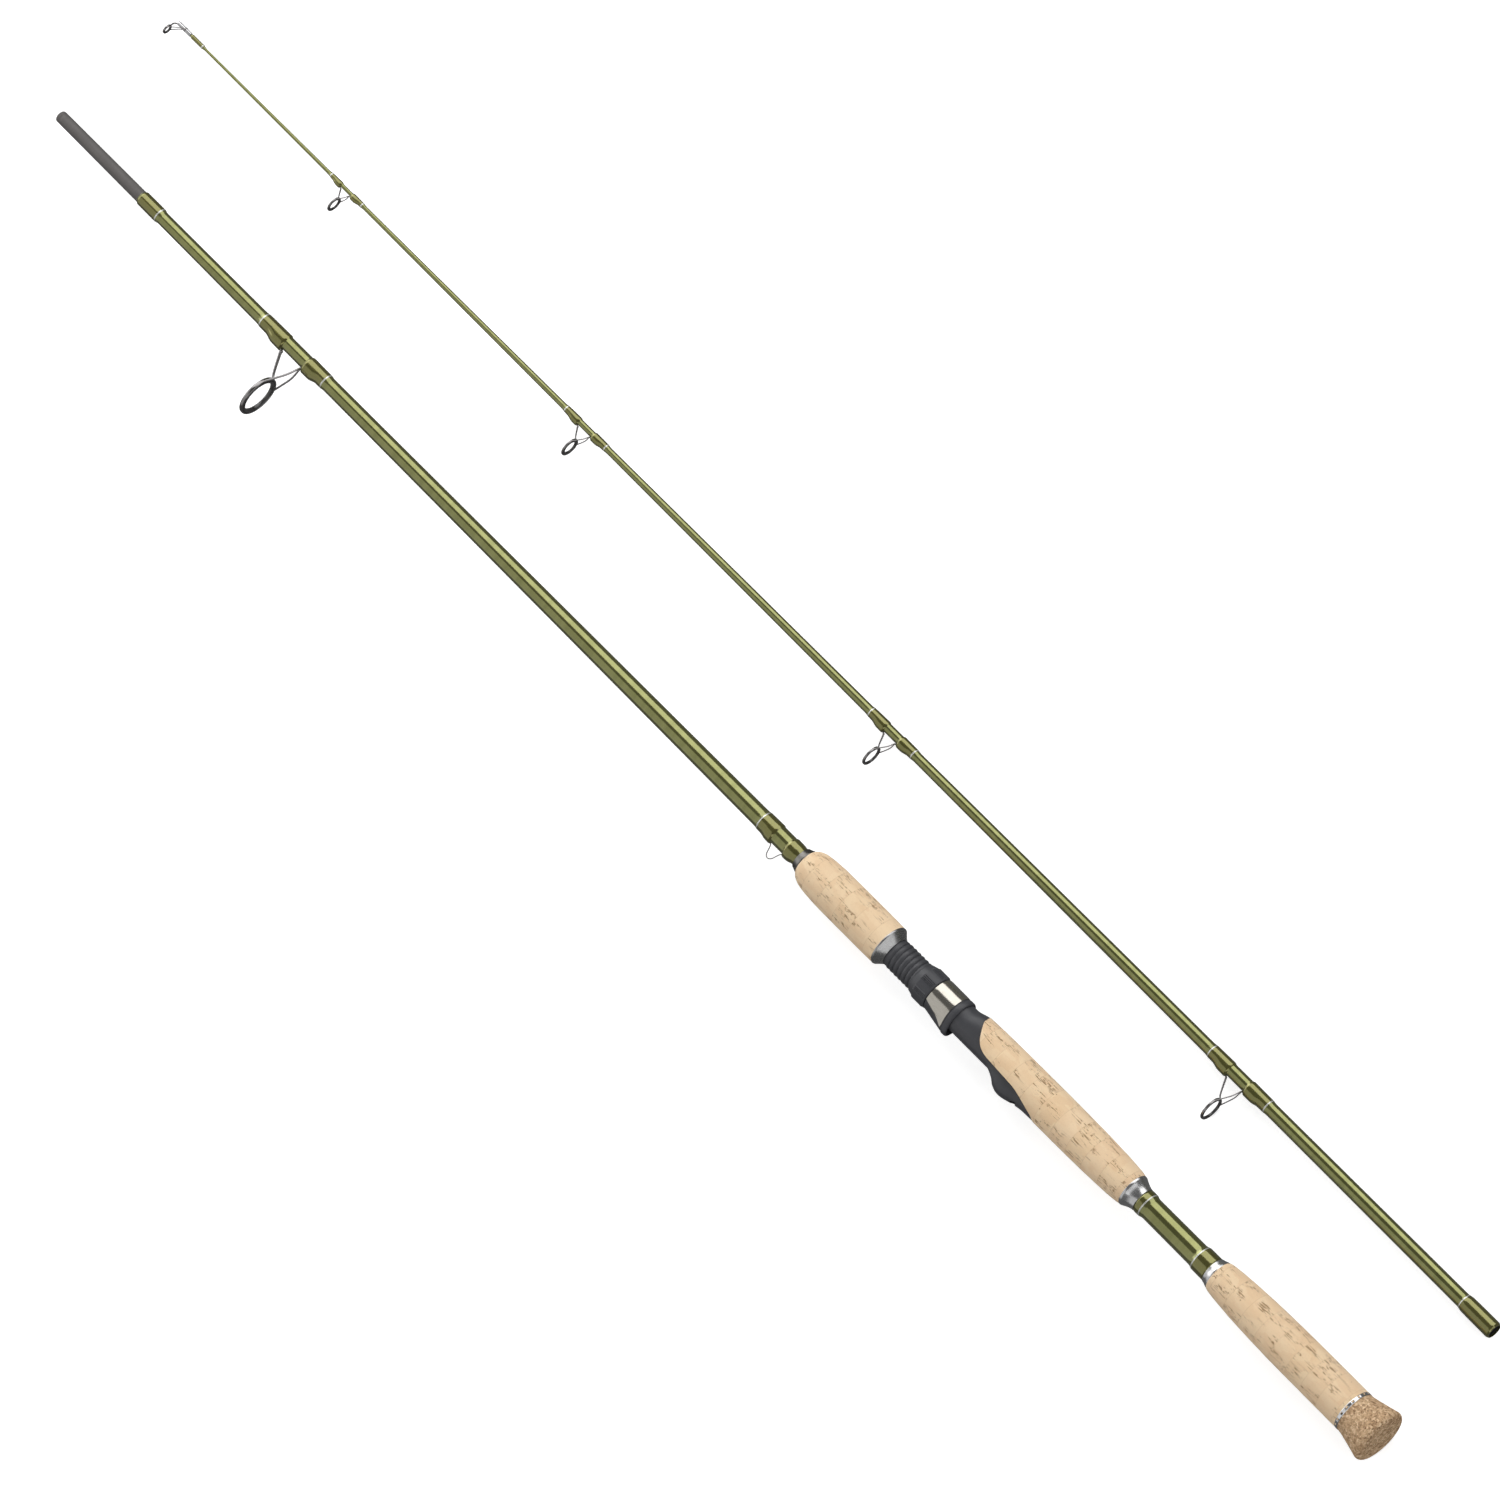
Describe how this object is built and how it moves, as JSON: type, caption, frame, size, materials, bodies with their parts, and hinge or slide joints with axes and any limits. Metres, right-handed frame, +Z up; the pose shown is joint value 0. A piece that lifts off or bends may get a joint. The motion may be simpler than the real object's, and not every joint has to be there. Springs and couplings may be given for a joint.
{
  "type": "spinning rod",
  "caption": "Spinning fishing rod in two sections, lying taken apart: cork split grip, screw-locking reel seat, ring guides and a push-on ferrule.",
  "frame": {"origin": "middle of the object's box, on the surface that it lies on", "axes": "+X towards the tips of both sections, +Y towards the side that the guides and the reel stand on, +Z up from the table"},
  "size_m": [1.1018, 0.1348, 0.034],
  "materials": {
    "blank": "metallic olive paint under gloss varnish on carbon and glass fibre",
    "bare_carbon": "sanded bare carbon, matte",
    "wrap": "golden-olive thread under glossy epoxy",
    "thread_trim": "silver-white thread under epoxy",
    "dark_chrome": "dark chromed steel",
    "ceramic": "polished dark ceramic",
    "gunmetal": "gunmetal anodised, turned",
    "cork": "sanded natural cork rings with dark pits",
    "burl_cork": "speckled composite cork",
    "seat": "charcoal satin moulding",
    "polished_metal": "polished silver metal",
    "filler": "light foam, hidden"
  },
  "bodies": {
    "butt_section": {"butt_blank": "blank", "male_ferrule_plug": "bare_carbon", "butt_ferrule_wrap": "wrap", "stripper_guide_frame": "dark_chrome", "stripper_guide_ring": "ceramic", "stripper_guide_front_wrap": "wrap", "stripper_guide_rear_wrap": "wrap", "hook_keeper": "dark_chrome", "hook_keeper_front_wrap": "wrap", "hook_keeper_rear_wrap": "wrap", "winding_check": "gunmetal", "fore_grip": "cork", "fore_grip_collar": "gunmetal", "reel_seat": "seat", "reel_seat_front_arbor": "filler", "reel_seat_rear_arbor": "filler", "rear_grip": "cork", "rear_grip_cone": "polished_metal", "split_front_wrap": "wrap", "split_rear_wrap": "wrap", "butt_grip_cone": "polished_metal", "butt_grip": "cork", "butt_ring": "polished_metal", "butt_cap": "burl_cork"},
    "moving_hood": {"moving_hood": "seat", "moving_hood_plate": "polished_metal"},
    "locking_nut": {"locking_nut": "seat"},
    "tip_carrier": {"bore_plug": "filler"},
    "tip_ferrule_band": {"tip_ferrule_trim": "thread_trim"},
    "tip_section": {"tip_blank": "blank", "tip_ferrule_wrap": "wrap", "tip_top_frame": "dark_chrome", "tip_top_ring": "ceramic", "tip_top_wrap": "wrap", "guide_1_frame": "dark_chrome", "guide_1_ring": "ceramic", "guide_1_front_wrap": "wrap", "guide_1_rear_wrap": "wrap", "guide_2_frame": "dark_chrome", "guide_2_ring": "ceramic", "guide_2_front_wrap": "wrap", "guide_2_rear_wrap": "wrap", "guide_3_frame": "dark_chrome", "guide_3_ring": "ceramic", "guide_3_front_wrap": "wrap", "guide_3_rear_wrap": "wrap", "guide_4_frame": "dark_chrome", "guide_4_ring": "ceramic", "guide_4_front_wrap": "wrap", "guide_4_rear_wrap": "wrap"}
  },
  "joints": [
    {"name": "hood_slide", "type": "slide", "parent": "butt_section", "child": "moving_hood", "axis": [1, 0, 0], "range_m": [-0.00245, 0.01955]},
    {"name": "nut_turn", "type": "hinge", "parent": "moving_hood", "child": "locking_nut", "pos_m": [-0.1849, 0.02193, 0.017], "axis": [1, 0, 0], "range_deg": [-278.71, 2264.52]},
    {"name": "tip_carry", "type": "slide", "parent": "butt_section", "child": "tip_carrier", "axis": [0.9985, 0.0541, 0.0061], "range_m": [0, 1.5529]},
    {"name": "ferrule_slide", "type": "slide", "parent": "tip_carrier", "child": "tip_ferrule_band", "axis": [-1, 0, 0], "range_m": [0, 0.518]},
    {"name": "tip_twist", "type": "hinge", "parent": "tip_ferrule_band", "child": "tip_section", "pos_m": [-0.5497, -0.06207, 0.0076], "axis": [1, 0, 0], "continuous": true}
  ],
  "couplings": [
    {"joint": "hood_slide", "follows": "nut_turn", "m_per_rad": 0.00049338}
  ]
}
